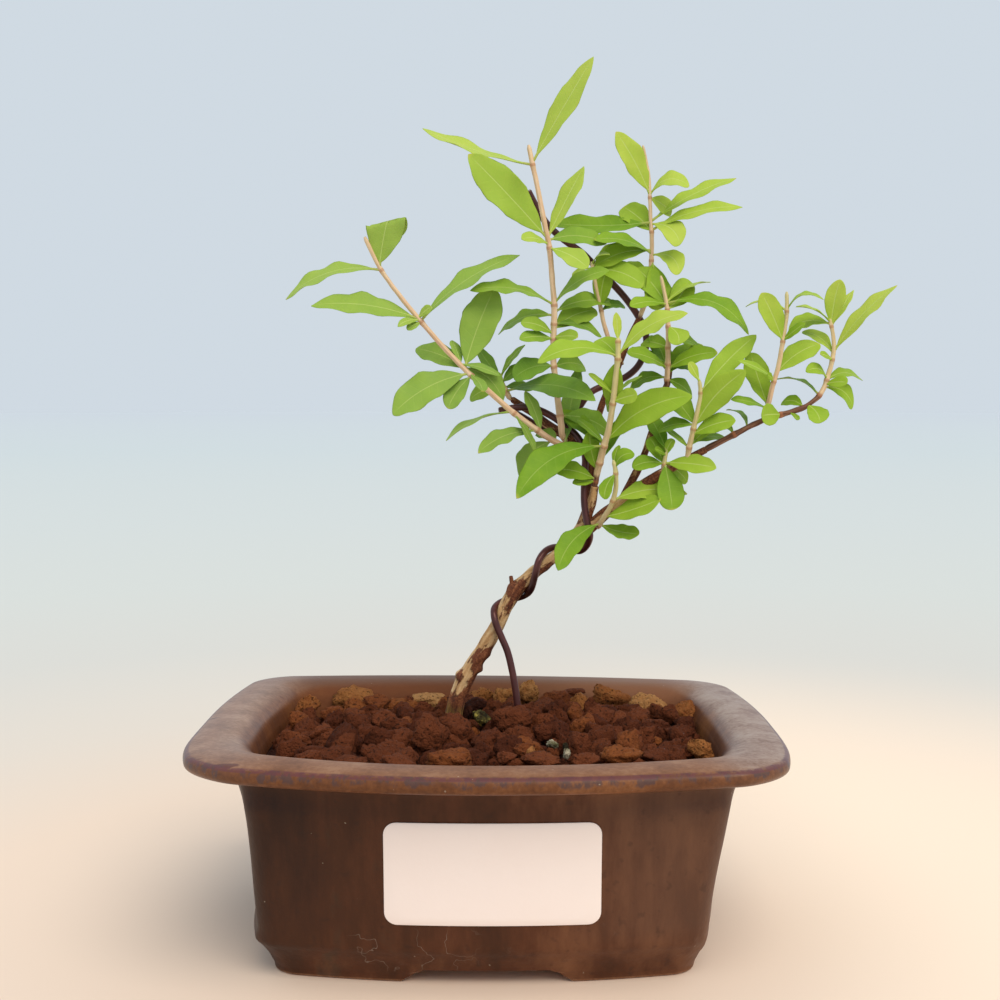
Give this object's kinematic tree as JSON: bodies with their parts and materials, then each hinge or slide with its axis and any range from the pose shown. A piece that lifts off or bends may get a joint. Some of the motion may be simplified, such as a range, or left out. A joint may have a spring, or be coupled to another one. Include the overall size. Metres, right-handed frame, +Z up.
{
  "type": "potted bonsai",
  "caption": "Young pomegranate bonsai with a wired, curved trunk and fresh green leaves, standing in a low footed glazed pot filled with coarse red-brown soil",
  "frame": {"origin": "middle of the underside of the whole object, on the surface that the pot stands on", "axes": "+Z up, -Y towards the long labelled front wall of the pot, +X along the pot's long side"},
  "size_m": [0.174, 0.119, 0.2217],
  "materials": {
    "glaze": "satin brown glaze, mottled",
    "label": "matte, blank",
    "netting": "matte",
    "soil": "rough, porous",
    "bark": "rough bark",
    "wire": "satin, dark brown anodised",
    "leaf": "satin, fresh leaves and green shoots"
  },
  "bodies": {
    "root": {"pot": "glaze", "label": "label", "netting_left": "netting", "netting_right": "netting", "soil": "soil", "trunk": "bark", "lower_wire": "wire", "upper_wire": "wire", "top_shoot": "leaf", "left_shoot": "leaf", "left_end_shoot": "leaf", "front_shoot": "leaf", "lower_shoot": "leaf", "middle_shoot": "leaf", "back_shoot": "leaf", "inner_shoot": "leaf", "right_cluster": "leaf", "right_front_shoot": "leaf", "right_shoot": "leaf", "right_upper_shoot": "leaf"}
  },
  "joints": []
}
